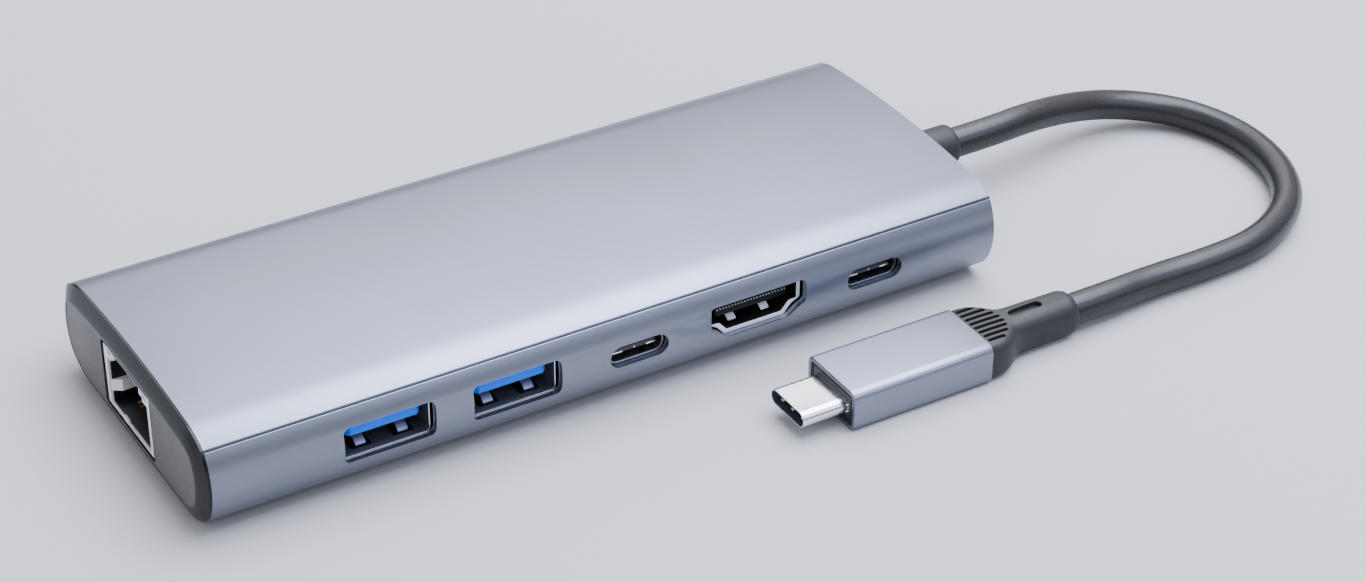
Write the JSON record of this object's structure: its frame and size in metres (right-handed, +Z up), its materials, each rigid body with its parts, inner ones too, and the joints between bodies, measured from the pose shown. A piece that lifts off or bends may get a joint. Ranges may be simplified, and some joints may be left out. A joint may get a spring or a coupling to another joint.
{
  "type": "laptop docking station",
  "caption": "Slim aluminium multiport docking hub with front data, video and power ports, an end network jack and a short captive cable with a reversible plug.",
  "frame": {"origin": "middle of the housing's flat underside, halfway along the extrusion", "axes": "+X along the housing towards the cable, +Z up out of the underside, ports face -Y"},
  "size_m": [0.1806, 0.0701, 0.016],
  "materials": {
    "cable_jacket": "satin extruded",
    "wire_insulation": "extruded",
    "capacitor_ceramic": "fired",
    "crystal_can": "plated",
    "gold_contact": "gold plate",
    "nickel_shell": "bright nickel plate",
    "blue_plastic": "moulded",
    "anodised_aluminium": "satin anodised",
    "chip_resin": "moulded",
    "soft_moulding": "satin moulded",
    "cap_plastic": "satin moulded",
    "circuit_laminate": "solder resist",
    "black_plastic": "moulded",
    "ferrite": "moulded"
  },
  "bodies": {
    "root": {"cable": "cable_jacket", "cable_end_in_hub": "cable_jacket", "cable_end_in_plug": "cable_jacket", "cable_wires": "wire_insulation", "ceramic_capacitors": "capacitor_ceramic", "clock_crystals": "crystal_can", "data_port_left_contacts": "gold_contact", "data_port_left_shell": "nickel_shell", "data_port_left_tongue": "blue_plastic", "data_port_right_contacts": "gold_contact", "data_port_right_shell": "nickel_shell", "data_port_right_tongue": "blue_plastic", "housing": "anodised_aluminium", "hub_controller_chip": "chip_resin", "hub_strain_relief": "soft_moulding", "left_end_cap": "cap_plastic", "main_circuit_board": "circuit_laminate", "network_controller_chip": "chip_resin", "network_jack_body": "black_plastic", "network_jack_contacts": "gold_contact", "network_jack_shield": "nickel_shell", "network_transformer": "ferrite", "plug_circuit_board": "circuit_laminate", "plug_contact_block": "black_plastic", "plug_contacts": "gold_contact", "plug_front_insert": "black_plastic", "plug_overmould": "soft_moulding", "plug_shell": "nickel_shell", "plug_sleeve": "anodised_aluminium", "power_controller_chip": "chip_resin", "power_inductors": "ferrite", "right_end_cap": "cap_plastic", "slim_port_left_contacts": "gold_contact", "slim_port_left_shell": "nickel_shell", "slim_port_left_tongue": "black_plastic", "slim_port_right_contacts": "gold_contact", "slim_port_right_shell": "nickel_shell", "slim_port_right_tongue": "black_plastic", "video_converter_chip": "chip_resin", "video_port_contacts": "gold_contact", "video_port_shell": "nickel_shell", "video_port_tongue": "black_plastic"}
  },
  "joints": []
}
